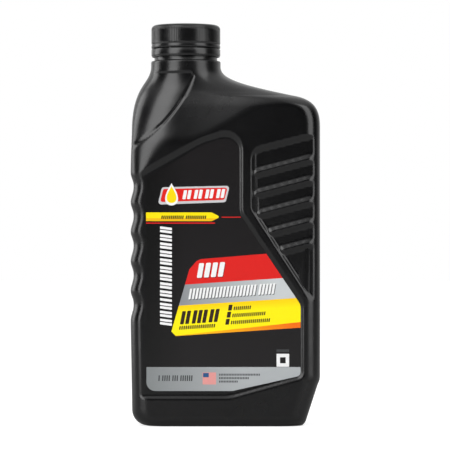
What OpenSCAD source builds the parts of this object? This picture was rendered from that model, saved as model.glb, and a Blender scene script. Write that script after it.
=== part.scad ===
// One-quart oil bottle: a blow-moulded body with an offset neck, a ribbed
// grip, recessed label panels, and a screw cap with a tamper band.
// The origin is at the middle of the base, +Z is up and the front faces -Y.

/* [Body] */
// Width of the body from side to side
body_w = 110.5; // [104:0.5:118]
// Depth of the body from front to back
body_d = 56; // [50:0.5:62]
// Height at which the straight sides end and the shoulder begins
side_h = 172; // [168:0.5:180]
// Height of the shoulder, from the sides' end to the top of the collar
shoulder_h = 41.6; // [39:0.2:44]
// Thickness of the moulded wall
wall = 1.1; // [1:0.05:1.3]
// Radius of the four upright corners
corner_r = 10; // [8:0.5:14]
// Rounding where the sides meet the base
base_r = 5; // [3:0.5:7]
// Height of the slanted cut at the lower right edge
heel_h = 26.5; // [18:0.5:32]
// How far the slanted cut reaches in from the right side
heel_in = 6.2; // [3:0.2:7]
// Radius of the lower left corner, seen from the front
toe_r = 9.5; // [7:0.5:12]

/* [Finger scallops] */
// Number of shallow scallops down the left side
scallop_count = 5; // [3:1:6]
// Distance from one scallop to the next
scallop_pitch = 17.2; // [16:0.2:18]
// Depth of a scallop
scallop_depth = 1.7; // [0.8:0.1:2.2]
// Height of the lowest scallop's deepest line
scallop_z = 70.2; // [62:0.2:74]

/* [Shoulder] */
// How far the front and back lean inwards for each millimetre above the crease
shoulder_lean = 0.195; // [0.15:0.005:0.22]
// Height of the crease at the left, measured from the sides' end
crease_low = -6; // [-8:0.5:-2]
// Height of the crease at the right, measured from the sides' end
crease_high = 17.5; // [14:0.5:18]
// Width of the curved groove on the shoulder
swoosh_w = 2.2; // [1.4:0.1:3]
// Depth of the curved groove on the shoulder
swoosh_depth = 0.8; // [0.4:0.1:0.9]

/* [Neck] */
// How far the neck stands to the left of the middle
neck_off = 23.3; // [20:0.1:26]
// Radius of the collar at the foot of the neck
collar_r = 20.5; // [20:0.1:21]
// Radius of the plain neck under the threads
neck_r = 17.4; // [16.8:0.1:17.6]
// Radius of the bore through the neck
bore_r = 15.8; // [14.6:0.1:16]
// Height from the collar to the lip
neck_h = 18.7; // [17:0.1:20]
// Rise of the thread in one turn
thread_pitch = 4.2; // [3.4:0.1:4.4]
// How far the thread stands out from the neck
thread_depth = 1.1; // [0.8:0.05:1.2]
// Turns of thread on the neck and in the cap
thread_turns = 1.5; // [1:0.25:1.5]
// Clearance between the thread of the cap and that of the neck
thread_gap = 0.25; // [0.2:0.05:0.4]
// Height of the bead that holds the tamper band
bead_h = 2; // [1.4:0.1:2.6]

/* [Cap] */
// Outside radius of the cap
cap_r = 20.3; // [20:0.1:21]
// Thickness of the cap's skirt
cap_wall = 1.25; // [1.1:0.05:1.4]
// Thickness of the cap's top
cap_top = 1.6; // [1.2:0.1:2.2]
// Height of the cap without its tamper band
cap_h = 13.8; // [12:0.1:15]
// Rounding of the cap's top edge
cap_edge = 2.6; // [1.2:0.1:2.8]
// Number of fine flutes around the cap
flute_count = 120; // [80:2:120]
// Depth of a flute
flute_depth = 0.25; // [0.1:0.05:0.4]
// Height of the plain rim under the flutes
cap_rim_h = 2.6; // [1.6:0.1:4]
// Thickness of the foam liner inside the cap
liner_t = 0.9; // [0.6:0.1:1.2]

/* [Tamper band] */
// Height of the tamper band
band_h = 4.6; // [3.6:0.1:5]
// Number of thin bridges that hold the band to the cap
bridge_count = 8; // [6:1:12]
// Width of a bridge
bridge_w = 0.9; // [0.6:0.1:1.4]
// Turn of the bridges about the neck
bridge_turn = -4; // [-20:1:20]
// Gap between the cap and its tamper band
band_gap = 0.4; // [0.3:0.1:0.8]
// Thickness of the tamper band
band_t = 1.0; // [0.8:0.05:1.3]

/* [Label panel] */
// Depth of the label panel below the front face
panel_depth = 1.1; // [0.6:0.1:1.6]
// Width of the sloped edge around a panel
rim_slope = 2; // [1.4:0.1:3]
// Height of the panel's lower edge
panel_z = 15.9; // [13:0.1:19]
// Distance from the right side of the body to the panel
panel_right = 9.3; // [8:0.1:11]
// Distance from the middle to the upright edge beside the grip
panel_mid = 10.5; // [8:0.1:13]
// Height at which that edge turns into the slant
panel_notch = 124.3; // [118:0.2:128]
// Height at which the slant ends at the right
panel_slant = 71.6; // [66:0.2:76]
// Gap between the label and the panel's sloped edge
label_gap = 0.3; // [0.2:0.1:1.5]
// Distance from the left side of the body to the label
label_left = 9.5; // [9.3:0.1:14]
// Thickness of a label
label_t = 0.15; // [0.1:0.01:0.25]
// Height of the label's lower edge above the panel's edge
label_rise = 4.9; // [4:0.1:7]

/* [Grip panel] */
// Depth of the grip panel below the front face
grip_depth = 1.9; // [1.2:0.1:2.3]
// Width of the ridge between the label panel and the grip panel
ridge_w = 4.1; // [3.2:0.1:6]
// Number of slanted ribs
rib_count = 5; // [3:1:6]
// Upright distance from one rib to the next
rib_pitch = 12.2; // [11:0.1:13]
// Width of a rib at its foot
rib_w = 4.6; // [3.8:0.1:6]
// Slant of the ribs
rib_slant = 14.5; // [8:0.5:18]
// How far the ribs stay below the front face
rib_drop = 0.3; // [0.1:0.1:0.8]
// Distance from the grip panel's edge to the ribs' left ends
rib_in = 1.4; // [1:0.1:2.4]

/* [Hidden] */
$fn = 96;
half_w = body_w / 2;
half_d = body_d / 2;
collar_z = side_h + shoulder_h;
lip_z = collar_z + neck_h;
cap_under = lip_z + liner_t;
lip_edge = 0.6;
collar_wall = 1.6;
thread_z = lip_z - 2.2 - thread_pitch * thread_turns;
cap_z1 = cap_under + cap_top;
cap_z0 = cap_z1 - cap_h;
band_z1 = cap_z0 - band_gap;
band_z0 = band_z1 - band_h;
neck_axis = [-neck_off, 0, 0];
collar_in = collar_r - collar_wall;
cap_in = cap_r - cap_wall;
foot_r = cap_r - band_t - 0.8;
bead_r = foot_r + 0.1;
bead_z = band_z0 + 2.6;
base_dish = 1.2;
dish_in = 6;
corner_steps = 6;
outer_steps = 18;
inner_steps = 14;

// Small helpers: mixing, smooth steps and rounded corners in a formula
function mix(a, b, t) = a + (b - a) * t;
function clamp01(t) = max(0, min(1, t));
function smooth(t) = let (u = clamp01(t)) u * u * (3 - 2 * u);
function reverse(l) = [for (i = [len(l) - 1 : -1 : 0]) l[i]];
function soft_ramp(u, r) = u <= -r ? 0 : u >= r ? u : (u + r) * (u + r) / (4 * r);
function bezier(p, t) = let (s = 1 - t)
    s * s * s * p[0] + 3 * s * s * t * p[1] + 3 * s * t * t * p[2] + t * t * t * p[3];
function bezier_at(p, z, lo = 0, hi = 1, n = 18) = let (t = (lo + hi) / 2)
    n == 0 ? bezier(p, t)[0]
    : bezier(p, t)[1] < z ? bezier_at(p, z, t, hi, n - 1) : bezier_at(p, z, lo, t, n - 1);

// Outline of the body seen from the front: the left and right edge at height z
scallop_top = scallop_z + (scallop_count - 0.5) * scallop_pitch;
scallop_end = scallop_z - 0.5 * scallop_pitch;
function scallop(z) = z < scallop_end || z > scallop_top ? 0
    : let (u = (z - scallop_end) / scallop_pitch, f = u - floor(u))
      scallop_depth * smooth(f < 0.5 ? f / 0.5 : (1 - f) / 0.42);
collar_proud = 0.1;
skin_r = collar_r - collar_proud;
neck_left = -neck_off - skin_r;
neck_right = -neck_off + skin_r;
side_lean = 0.5;
foot_lean = 1;
left_reach = 28;
neck_reach = 10.5;
neck_straight = 3;
neck_z = collar_z - neck_straight;
left_curve = [[side_lean - half_w, side_h], [-half_w, side_h + left_reach],
              [neck_left, neck_z - neck_reach], [neck_left, neck_z]];
corner_w = 16;
corner_h = 20.8;
right_low = [half_w - corner_w, side_h + corner_h];
right_corner = [[half_w, side_h], [half_w, side_h + 0.42 * corner_h],
                [half_w, side_h + 0.87 * corner_h], right_low];
slope_reach = [36, 7.8];
flare_h = 6;
right_curve = [right_low, right_low + [-slope_reach[0], slope_reach[1]],
               [neck_right, neck_z - flare_h], [neck_right, neck_z]];
function toe(z) = z >= toe_r ? 0 : toe_r - sqrt(toe_r * toe_r - (toe_r - z) * (toe_r - z));
function left_edge(z) = z >= neck_z ? neck_left
    : z > side_h ? bezier_at(left_curve, z)
    : z > scallop_top ? -half_w + side_lean * smooth((z - scallop_top) / (side_h - scallop_top))
    : -half_w + scallop(z) + foot_lean * clamp01(1 - z / scallop_end) + toe(z);
heel_foot = 0.64 * base_r;
heel_soft = 3;
function right_edge(z) = z >= neck_z ? neck_right
    : z >= right_low[1] ? bezier_at(right_curve, z)
    : z > side_h ? bezier_at(right_corner, z)
    : z > heel_h + heel_soft ? half_w
    : half_w - heel_in * (0.09 * smooth((heel_h + heel_soft - z) / (2 * heel_soft))
                          + 1.4 * clamp01((heel_h - z) / heel_h))
      - (z < heel_foot ? base_r - sqrt(base_r * base_r - (heel_foot - z) * (heel_foot - z)) : 0);

// Half depth of the body at a place on the front: flat, then leaning in above the crease
crease_mid = side_h + (crease_low + crease_high) / 2;
crease_half = (crease_high - crease_low) / 2;
crease_x = 3;
crease_w = 31;
crease_soft = 3;
neck_blend = 16;
function crease(x) = crease_mid + crease_half * sin(90 * max(-1, min(1, (x - crease_x) / crease_w)));
function base_in(z) = z >= base_r ? 0 : base_r - sqrt(base_r * base_r - (base_r - z) * (base_r - z));
function depth_at(x, z) =
    mix(half_d - shoulder_lean * soft_ramp(z - crease(x), crease_soft), skin_r,
        smooth((z - collar_z + neck_blend) / (0.75 * neck_blend))) - base_in(z);

// One level of the body. Its corners are arcs: the left one opens out to the neck's circle early, and the
// right one only above the sloping shoulder, where a level cuts the rounded edge at a slant, as a long arc.
open_low = 6;
open_h = 26;
open_right = 3;
neck_round = 6.6;
slope_step = 0.5;
side_flat = 0.4;
function stretch(rise) = sqrt(1 + rise * rise);
function left_stretch(z) = let (z0 = max(0, z - slope_step))
    stretch((left_edge(z + slope_step) - left_edge(z0)) / (z + slope_step - z0));
function right_stretch(z) = let (z0 = max(0, z - slope_step))
    stretch((right_edge(z + slope_step) - right_edge(z0)) / (z + slope_step - z0));
function level_shape(z, t) = let (
    x0 = left_edge(z) + t * left_stretch(z), x1 = right_edge(z) - t * right_stretch(z),
    left_r = mix(corner_r, skin_r, smooth((z - side_h + open_low) / open_h)) - t,
    right_from = right_low[1] - open_right,
    right_r = mix(corner_r, skin_r, smooth((z - right_from) / (collar_z - neck_round - right_from))) - t,
    left_x = min(left_r, (x1 - x0) / 2))
    [x0, x1, left_x, min(right_r * right_stretch(z), x1 - x0 - left_x), left_r, right_r];
function level_y(s, x, z, t) = let (
    y = depth_at(x, z) - t,
    u = clamp01((s[0] + s[2] - x) / s[2]), v = clamp01((x - s[1] + s[3]) / s[3]))
    y - min(s[4], y - side_flat) * (1 - sqrt(1 - u * u)) - min(s[5], y - side_flat) * (1 - sqrt(1 - v * v));
function skin_y(x, z) = level_y(level_shape(z, 0), x, z, 0);
function level(z, t, steps) = let (
    s = level_shape(z, t),
    half = [for (i = [0 : steps]) let (x = mix(s[0], s[1], (1 - cos(180 * i / steps)) / 2))
        [x, level_y(s, x, z, t)]])
    concat([for (p = half) [p[0], -p[1], z]], [for (i = [steps : -1 : 0]) [half[i][0], half[i][1], z]]);

// Closed skin through a list of levels that have the same number of points
module skin(levels) {
    n = len(levels[0]);
    m = len(levels);
    polyhedron(concat([for (l = levels) each l]),
        concat([[for (i = [0 : n - 1]) i]], [[for (i = [n - 1 : -1 : 0]) (m - 1) * n + i]],
            [for (j = [0 : m - 2]) for (i = [0 : n - 1])
                let (k = (i + 1) % n, a = j * n)
                each [[a + i, a + n + i, a + n + k], [a + i, a + n + k, a + k]]]));
}

scallop_step = scallop_pitch / 6;
levels_z = concat(
    [for (a = [0, 22.5, 45, 67.5, 90]) base_r * (1 - cos(a))],
    [0.8 * toe_r, toe_r, heel_h, heel_h + heel_soft],
    [for (i = [0 : 6 * scallop_count]) scallop_end + i * scallop_step],
    [side_h - 12, side_h - 4],
    [for (i = [0 : 12]) side_h + i * (shoulder_h - 3) / 12], [collar_z - 1.5]);
inner_z = concat([base_dish + wall, base_dish + 2 * wall, base_r, toe_r, heel_h, heel_h + heel_soft],
    [for (i = [0 : 4 * scallop_count]) scallop_end + i * scallop_pitch / 4],
    [side_h - 4], [for (i = [0 : 12]) side_h + i * (shoulder_h - 3) / 12]);

// Outlines drawn on the front: corners given as [x, z, rounding]
function unit(v) = v / norm(v);
function inset(p, d) = [for (i = [0 : len(p) - 1]) let (
    n = len(p), a = p[(i + n - 1) % n], b = p[i], c = p[(i + 1) % n],
    u = unit([b[0] - a[0], b[1] - a[1]]), v = unit([c[0] - b[0], c[1] - b[1]]),
    turn = u[0] * v[1] - u[1] * v[0],
    m = [-u[1] - v[1], u[0] + v[0]], k = d / (1 + u * v))
    [b[0] + m[0] * k, b[1] + m[1] * k, b[2] == 0 ? 0 : max(0.4, turn > 0 ? b[2] - d : b[2] + d)]];
function rounded(p, steps) = [for (i = [0 : len(p) - 1]) let (
    n = len(p), a = p[(i + n - 1) % n], b = p[i], c = p[(i + 1) % n],
    o = [b[0], b[1]], u = unit([a[0], a[1]] - o), v = unit([c[0], c[1]] - o),
    half = acos(max(-1, min(1, u * v))) / 2, mid = unit(u + v),
    centre = o + mid * b[2] / sin(half), start = o + u * b[2] / tan(half) - centre,
    turn = (180 - 2 * half) * sign(u[1] * v[0] - u[0] * v[1]))
    each (b[2] == 0 ? [o] : [for (s = [0 : steps]) let (t = turn * s / steps)
        centre + [start[0] * cos(t) - start[1] * sin(t), start[0] * sin(t) + start[1] * cos(t)]])];

// Plate between two outlines, one at depth y0 and one at y1 behind it
proud = 0.4;
module bevelled(outer, inner, y0, y1, steps) {
    a = rounded(outer, steps);
    b = rounded(inner, steps);
    n = len(a);
    polyhedron(concat([for (p = a) [p[0], y0, p[1]]], [for (p = b) [p[0], y1, p[1]]]),
        concat([[for (i = [n - 1 : -1 : 0]) i]], [[for (i = [0 : n - 1]) n + i]],
            [for (i = [0 : n - 1]) let (k = (i + 1) % n) each [[i, k, n + k], [i, n + k, n + i]]]));
}
module both_sides() {
    children();
    mirror([0, 1, 0]) children();
}

// The label panel's edge, counter-clockwise as seen from the front
beyond = half_w + 8;
panel_x1 = half_w - panel_right;
slant = (panel_notch - panel_slant) / (panel_x1 - panel_mid);
label_top = side_h - 4.4;
top_bend = -14.7;
panel_edge = [
    [-beyond, panel_z, 0], [panel_mid - 7.8, panel_z, 30],
    [panel_x1, panel_z + 12, 5], [panel_x1, panel_slant, 8],
    [panel_mid, panel_notch, 8], [panel_mid, side_h + 3.2, 10.9],
    [top_bend, label_top, 30], [-beyond, label_top - 0.562 * (beyond + top_bend), 0]];
label_in = inset(panel_edge, rim_slope + label_gap);
label_x0 = label_left - half_w;
label_edge = [
    [label_x0, panel_z + label_rise, 5.2], [panel_mid - 6.5, panel_z + label_rise, 6],
    label_in[2], label_in[3], label_in[4], label_in[5] - [0, 1.5, 0],
    [top_bend, label_top - 4.6, 20], [label_x0, label_top - 4.6 - 0.62 * (top_bend - label_x0), 2]];

// The grip panel's edge, open towards the right side
grip_x0 = panel_mid + ridge_w;
grip_edge = [
    [grip_x0, panel_notch + 1.8, 5], [beyond, panel_notch + 1.8 - 1.54 * (beyond - grip_x0), 0],
    [beyond, side_h + 1.4, 0], [grip_x0, side_h - 11, 7.5]];
rib_top = side_h - 26;
rib_end = half_w - corner_r * 0.45;
rib_crest = 1.6;
rib_len = (rib_end - grip_x0 + rim_slope) / cos(rib_slant);
function rib_edge(i, w) = let (
    d = [cos(rib_slant), sin(rib_slant)], n = [-d[1], d[0]] * w / 2,
    p = [grip_x0 - rim_slope, rib_top - i * rib_pitch])
    [for (q = [p - n, p + d * rib_len - n, p + d * rib_len + n, p + n]) [q[0], q[1], 0]];

module panel_cut(t) {
    bevelled(inset(panel_edge, -t), inset(panel_edge, rim_slope - t), -half_d - proud,
        -half_d + panel_depth + t, corner_steps);
}
module grip_cut(t) {
    bevelled(inset(grip_edge, -t), inset(grip_edge, rim_slope - t), -half_d - proud,
        -half_d + grip_depth + t, corner_steps);
}
module ribs() {
    y0 = -half_d + rib_drop;
    y1 = -half_d + grip_depth + 0.3;
    intersection() {
        union() for (i = [0 : rib_count - 1])
            bevelled(rib_edge(i, rib_crest), rib_edge(i, rib_w), y0, y1, 1);
        bevelled(inset(grip_edge, rib_in + rib_crest), inset(grip_edge, rib_in),
            y0 - 0.1, y1 + 0.1, corner_steps);
    }
}

// The curved groove that sweeps down the left of the shoulder
swoosh = [[-18.6, collar_z - 9.5], [-24, side_h + 18], [-33, side_h + 3], [-54, side_h - 9]];
swoosh_steps = 14;
swoosh_clear = 1.5;
module swoosh_cut() {
    path = [for (i = [0 : swoosh_steps]) bezier(swoosh, i / swoosh_steps)];
    rings = [for (i = [0 : swoosh_steps]) let (
        d = unit(path[min(i + 1, swoosh_steps)] - path[max(i - 1, 0)]),
        n = [-d[1], d[0]] * swoosh_w / 2,
        p = path[i])
        [for (q = [[p + n, -swoosh_clear], [p + n, 0], [p, swoosh_depth], [p - n, 0], [p - n, -swoosh_clear]])
            [q[0][0], q[1] - skin_y(q[0][0], q[0][1]), q[0][1]]]];
    m = len(rings[0]);
    polyhedron([for (r = rings) each r], concat([[for (i = [m - 1 : -1 : 0]) i]],
        [[for (i = [0 : m - 1]) swoosh_steps * m + i]],
        [for (j = [0 : swoosh_steps - 1]) for (i = [0 : m - 1]) let (k = (i + 1) % m, a = j * m)
            each [[a + i, a + m + k, a + m + i], [a + i, a + k, a + m + k]]]));
}

// A right-handed helical ridge about the neck's axis, outwards for the neck, inwards for the cap
thread_foot = 2;
thread_crest = 1;
turn_steps = 32;
module thread(r_foot, r_crest, z0, start, turns) {
    n = round(turns * turn_steps);
    rings = [for (i = [0 : n]) let (t = start + turns * i / n, a = 360 * t,
        rc = mix(r_foot, r_crest, min(1, 0.08 + min(i, n - i) / 4)))
        [for (q = [[r_foot, -thread_foot], [rc, -thread_crest], [rc, thread_crest], [r_foot, thread_foot]])
            [q[0] * cos(a), q[0] * sin(a), z0 + thread_pitch * t + q[1] / 2]]];
    out = r_crest < r_foot;
    first = [0, 1, 2, 3];
    last = [for (i = [3 : -1 : 0]) n * 4 + i];
    polyhedron([for (r = rings) each r], concat(out ? [first, last] : [reverse(first), reverse(last)],
        [for (j = [0 : n - 1]) for (i = [0 : 3]) let (k = (i + 1) % 4, a = j * 4,
            f = [a + i, a + 4 + i, a + 4 + k], g = [a + i, a + 4 + k, a + k])
            each (out ? [f, g] : [reverse(f), reverse(g)])]));
}

module body_shell() {
    difference() {
        skin([for (z = levels_z) level(z, 0, outer_steps)]);
        both_sides() {
            panel_cut(0);
            difference() { grip_cut(0); ribs(); }
            swoosh_cut();
        }
        difference() {
            skin([for (z = inner_z) level(z, wall, inner_steps)]);
            both_sides() { panel_cut(wall); grip_cut(wall); }
        }
    }
}
module bottle() {
    color("#26262a") difference() {
        union() {
            body_shell();
            translate(neck_axis) rotate_extrude() polygon([
                [bore_r - 2, neck_z - 1], [skin_r - 0.3, neck_z - 1],
                [collar_r, neck_z],
                [collar_r, collar_z - 0.8], [collar_r - 0.8, collar_z], [foot_r, collar_z],
                [foot_r, band_z0 + 0.2], [neck_r, band_z0 + 0.6], [neck_r, bead_z - 0.4],
                [bead_r, bead_z], [bead_r, bead_z + 0.6], [neck_r, bead_z + bead_h],
                [neck_r, lip_z - lip_edge], [neck_r - lip_edge, lip_z], [bore_r - 2, lip_z]]);
            translate(neck_axis)
                thread(neck_r - 0.1, neck_r + thread_depth, thread_z, 0, thread_turns);
        }
        translate(neck_axis) {
            translate([0, 0, collar_z]) cylinder(r = bore_r, h = neck_h + 1);
            rotate_extrude() polygon([
                [0, collar_z - 8], [collar_in, collar_z - 8], [collar_in, collar_z - 2.5],
                [bore_r, collar_z + 1], [0, collar_z + 1]]);
        }
        linear_extrude(2 * base_dish, center = true) polygon(rounded([
            [left_edge(0) + dish_in, dish_in - half_d + base_r, 6],
            [right_edge(0) - dish_in, dish_in - half_d + base_r, 6],
            [right_edge(0) - dish_in, half_d - base_r - dish_in, 6],
            [left_edge(0) + dish_in, half_d - base_r - dish_in, 6]], 4));
    }
}
module tamper_band() {
    color("#222226") translate(neck_axis) {
        rotate_extrude() polygon([
            [cap_r - band_t, band_z0], [cap_r - 0.4, band_z0], [cap_r - 0.25, band_z0 + 0.2],
            [cap_r - 0.25, band_z0 + 0.6], [cap_r, band_z0 + 1.1], [cap_r, band_z1],
            [cap_r - band_t, band_z1], [cap_r - band_t, bead_z - 0.7],
            [neck_r + 0.3, bead_z - 0.7], [neck_r + 0.3, band_z0 + 1], [cap_r - band_t, band_z0 + 0.6]]);
        for (i = [0 : bridge_count - 1]) rotate((i + 0.5) * 360 / bridge_count + bridge_turn)
            translate([cap_r - band_t + 0.1, -bridge_w / 2, band_z1 - 0.1])
                cube([band_t - 0.4, bridge_w, band_gap + 0.05]);
    }
}
module cap_liner() {
    color("#e9e6dc") translate([-neck_off, 0, lip_z]) cylinder(r = cap_in - 0.3, h = liner_t);
}
module cap() {
    flutes = [for (i = [0 : 2 * flute_count - 1]) let (a = 180 * i / flute_count,
        r = cap_r + 0.05 - (i % 2) * flute_depth) [r * cos(a), r * sin(a)]];
    edge = cap_r - cap_edge;
    color("#2b2b2f") translate(neck_axis) {
        difference() {
            union() {
                translate([0, 0, cap_z0]) cylinder(r = cap_r, h = cap_rim_h);
                intersection() {
                    translate([0, 0, cap_z0 + cap_rim_h / 2]) linear_extrude(cap_h) polygon(flutes);
                    rotate_extrude() polygon(concat([[0, cap_z0], [cap_r, cap_z0]],
                        [for (a = [0 : 15 : 90])
                            [edge + cap_edge * cos(a), cap_z1 - cap_edge * (1 - sin(a))]],
                        [[0, cap_z1]]));
                }
            }
            translate([0, 0, cap_z0 - 1]) cylinder(r = cap_in, h = cap_under - cap_z0 + 1);
        }
        thread(cap_in + 0.3, neck_r + thread_gap, thread_z - thread_pitch / 2, 0.25, thread_turns - 0.25);
    }
}
module label() {
    y = half_d - panel_depth;
    translate([0, -y, 0]) rotate([90, 0, 0]) linear_extrude(label_t)
        polygon(rounded(label_edge, corner_steps));
}
module front_label() color("#1d1b1c") label();
module back_label() color("#1d1b1c") mirror([0, 1, 0]) label();

bottle();
front_label();
back_label();
tamper_band();
cap_liner();
cap();
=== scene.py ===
# %% [markdown]
# A black one-quart oil bottle
#
# The bottle is blown from polyethylene in a two-part mould, so its shape is one smooth skin with soft
# recesses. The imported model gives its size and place. Here each visible piece is dressed around that model: a
# fine skin for the bottle, a fluted cap, its tamper band, two labels, and the finish of every surface.

# %% Load the frame
import math

import bmesh
import bpy
import numpy as np
from mathutils import Matrix, Vector


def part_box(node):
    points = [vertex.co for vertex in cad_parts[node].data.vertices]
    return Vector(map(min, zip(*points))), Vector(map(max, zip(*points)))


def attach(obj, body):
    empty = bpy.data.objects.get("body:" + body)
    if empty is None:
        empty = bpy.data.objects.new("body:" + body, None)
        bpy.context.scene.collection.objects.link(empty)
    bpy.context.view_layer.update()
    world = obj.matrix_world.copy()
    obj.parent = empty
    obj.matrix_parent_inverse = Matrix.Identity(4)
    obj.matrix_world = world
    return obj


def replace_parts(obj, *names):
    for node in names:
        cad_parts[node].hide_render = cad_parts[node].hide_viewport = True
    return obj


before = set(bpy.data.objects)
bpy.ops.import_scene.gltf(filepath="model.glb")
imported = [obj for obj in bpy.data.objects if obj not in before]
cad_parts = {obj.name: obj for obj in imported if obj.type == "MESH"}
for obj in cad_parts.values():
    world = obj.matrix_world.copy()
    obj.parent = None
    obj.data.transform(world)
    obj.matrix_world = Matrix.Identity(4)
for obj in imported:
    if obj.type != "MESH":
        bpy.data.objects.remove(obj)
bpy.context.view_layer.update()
MM = 0.001
bottle_low, bottle_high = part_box("bottle")
cap_low, cap_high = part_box("cap")
band_low, band_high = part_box("tamper_band")
label_low, label_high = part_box("front_label")
print("bottle box", bottle_low, bottle_high)

# %% [markdown]
# Driving sizes
#
# Every size is in millimetres, as on a mould drawing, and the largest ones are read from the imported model. A
# place on the front is given by x, to the right, and z, up. The depth of the surface is how far it stands from
# the middle.

# %% Sizes of the body
HALF_W = bottle_high.x / MM
HALF_D = bottle_high.y / MM
LIP_Z = bottle_high.z / MM
NECK_X = (cap_low.x + cap_high.x) / 2 / MM
CAP_R = (cap_high.x - cap_low.x) / 2 / MM
CAP_TOP_Z = cap_high.z / MM
CAP_RIM_Z = cap_low.z / MM
BAND_Z = band_low.z / MM
SIDE_H = 172.0
COLLAR_Z = LIP_Z - 18.7
WALL = 1.1
CORNER_R = 10.0
BASE_R = 5.0
TOE_R = 9.5
HEEL_H = 26.5
HEEL_IN = 6.2
COLLAR_R = 20.5
NECK_R = 17.4
BORE_R = 15.8
CAP_WALL = 1.25
print("half width", HALF_W, "half depth", HALF_D, "lip", LIP_Z, "neck axis", NECK_X)


# %% Small formulas
def mix(a, b, t):
    return a + (b - a) * t


def smooth(t):
    t = np.clip(t, 0, 1)
    return t * t * (3 - 2 * t)


def soft_ramp(u, r):
    """0 below zero and u above it, with a round turn r wide on each side."""
    return np.where(u <= -r, 0, np.where(u >= r, u, (u + r) ** 2 / (4 * r)))


def soft_min(a, b, r):
    return a - soft_ramp(a - b, r)


def bezier(p, t):
    """Points along a curve with four control points."""
    t = np.asarray(t, float)[:, None]
    p = np.asarray(p, float)
    s = 1 - t
    return s ** 3 * p[0] + 3 * s * s * t * p[1] + 3 * s * t * t * p[2] + t ** 3 * p[3]


CURVE_STEPS = np.linspace(0, 1, 200)


def curve_x(p, z):
    """The x of a rising curve at height z."""
    points = bezier(p, CURVE_STEPS)
    return np.interp(z, points[:, 1], points[:, 0])


# %% [markdown]
# The body's outline from the front
#
# A bottle like this is drawn first as a front view. The left edge has five finger scallops under the neck, and
# the right edge runs up to a long sloping shoulder. Each edge is a function of height, so that the skin can be
# shaped level by level.

# %% Left and right edge
SCALLOPS, SCALLOP_PITCH, SCALLOP_DEPTH, SCALLOP_Z = 5, 17.2, 1.7, 70.2
SCALLOP_RISE, SCALLOP_FALL = 0.5, 0.42
SCALLOP_TOP = SCALLOP_Z + (SCALLOPS - 0.5) * SCALLOP_PITCH
SCALLOP_END = SCALLOP_Z - 0.5 * SCALLOP_PITCH
NECK_LEFT, NECK_RIGHT = NECK_X - COLLAR_R, NECK_X + COLLAR_R
SIDE_LEAN, FOOT_LEAN = 0.5, 1.0
NECK_STRAIGHT, LEFT_REACH, NECK_REACH = 3, 28, 10.5
NECK_Z = COLLAR_Z - NECK_STRAIGHT
LEFT_CURVE = [(SIDE_LEAN - HALF_W, SIDE_H), (-HALF_W, SIDE_H + LEFT_REACH),
              (NECK_LEFT, NECK_Z - NECK_REACH), (NECK_LEFT, NECK_Z)]
CORNER_W, CORNER_H = 16.0, 20.8
RIGHT_LOW = (HALF_W - CORNER_W, SIDE_H + CORNER_H)
RIGHT_CORNER = [(HALF_W, SIDE_H), (HALF_W, SIDE_H + 0.42 * CORNER_H),
                (HALF_W, SIDE_H + 0.87 * CORNER_H), RIGHT_LOW]
SLOPE_LONG, SLOPE_RISE, FLARE_H = 36, 7.8, 6
RIGHT_CURVE = [RIGHT_LOW, (RIGHT_LOW[0] - SLOPE_LONG, RIGHT_LOW[1] + SLOPE_RISE),
               (NECK_RIGHT, NECK_Z - FLARE_H), (NECK_RIGHT, NECK_Z)]
HEEL_FOOT = 0.64 * BASE_R
HEEL_SOFT, HEEL_SWELL, HEEL_SLANT = 3, 0.09, 1.4


def quarter(z, r):
    """How far a rounded lower edge of radius r has drawn in at height z."""
    z = np.clip(z, 0, r)
    return r - np.sqrt(r * r - (r - z) ** 2)


def scallop(z):
    u = (z - SCALLOP_END) / SCALLOP_PITCH
    f = u - np.floor(u)
    wave = smooth(np.where(f < SCALLOP_RISE, f / SCALLOP_RISE, (1 - f) / SCALLOP_FALL))
    return np.where((z < SCALLOP_END) | (z > SCALLOP_TOP), 0, SCALLOP_DEPTH * wave)


def left_edge(z):
    lower = -HALF_W + scallop(z) + FOOT_LEAN * np.clip(1 - z / SCALLOP_END, 0, 1) + quarter(z, TOE_R)
    upper = -HALF_W + SIDE_LEAN * smooth((z - SCALLOP_TOP) / (SIDE_H - SCALLOP_TOP))
    body = np.where(z > SCALLOP_TOP, upper, lower)
    return np.where(z > SIDE_H, curve_x(LEFT_CURVE, z), body)


def right_edge(z):
    swell = HEEL_SWELL * smooth((HEEL_H + HEEL_SOFT - z) / (2 * HEEL_SOFT))
    heel = HEEL_IN * (swell + HEEL_SLANT * np.clip((HEEL_H - z) / HEEL_H, 0, 1))
    foot = np.where(z < HEEL_FOOT, BASE_R - np.sqrt(BASE_R ** 2 - np.clip(HEEL_FOOT - z, 0, None) ** 2), 0)
    body = HALF_W - heel - foot
    upper = np.where(z >= RIGHT_LOW[1], curve_x(RIGHT_CURVE, z), curve_x(RIGHT_CORNER, z))
    return np.where(z > SIDE_H, upper, body)


# %% Depth of the body
# The front is flat up to a crease, and leans in above it to meet the round neck.
LEAN = 0.195
CREASE_LOW, CREASE_HIGH, CREASE_SOFT = -6.0, 17.5, 3.0
CREASE_X, CREASE_W = 3, 31
NECK_BLEND, NECK_BLEND_H = 28, 26


def crease(x):
    middle = SIDE_H + (CREASE_LOW + CREASE_HIGH) / 2
    across = np.clip((x - CREASE_X) / CREASE_W, -1, 1)
    return middle + (CREASE_HIGH - CREASE_LOW) / 2 * np.sin(np.pi / 2 * across)


def depth_at(x, z):
    lean = HALF_D - LEAN * soft_ramp(z - crease(x), CREASE_SOFT)
    return mix(lean, COLLAR_R, smooth((z - COLLAR_Z + NECK_BLEND) / NECK_BLEND_H)) - quarter(z, BASE_R)


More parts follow.
